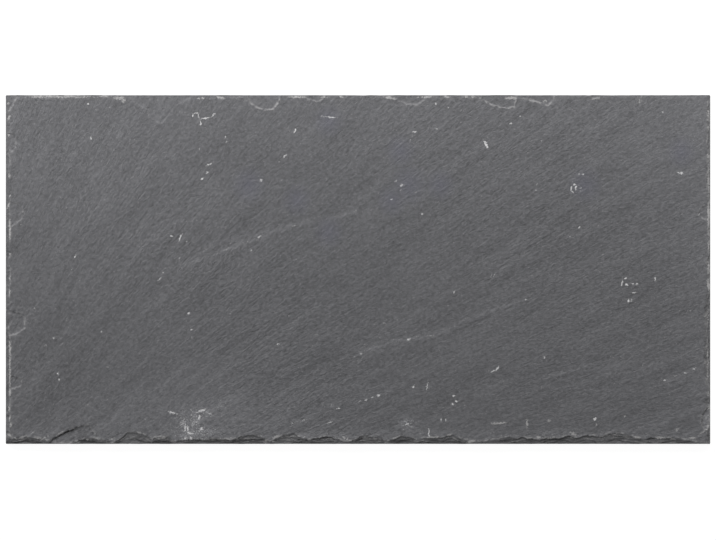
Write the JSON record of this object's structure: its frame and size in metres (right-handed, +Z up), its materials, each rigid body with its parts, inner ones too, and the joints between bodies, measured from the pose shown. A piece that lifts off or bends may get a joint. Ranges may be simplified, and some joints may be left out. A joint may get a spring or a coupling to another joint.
{
  "type": "slate slab",
  "caption": "Rectangular slab of dark grey riven slate with a split upper face, hand-dressed flaked edges and a flat underside to rest on.",
  "frame": {"origin": "centre of the flat underside", "axes": "+Z up out of the riven face, +X along the slab's length, -Y towards the most heavily dressed long edge"},
  "size_m": [0.6, 0.297, 0.01],
  "materials": {
    "slate": "riven, matt"
  },
  "bodies": {
    "root": {"slab": "slate"}
  },
  "joints": []
}
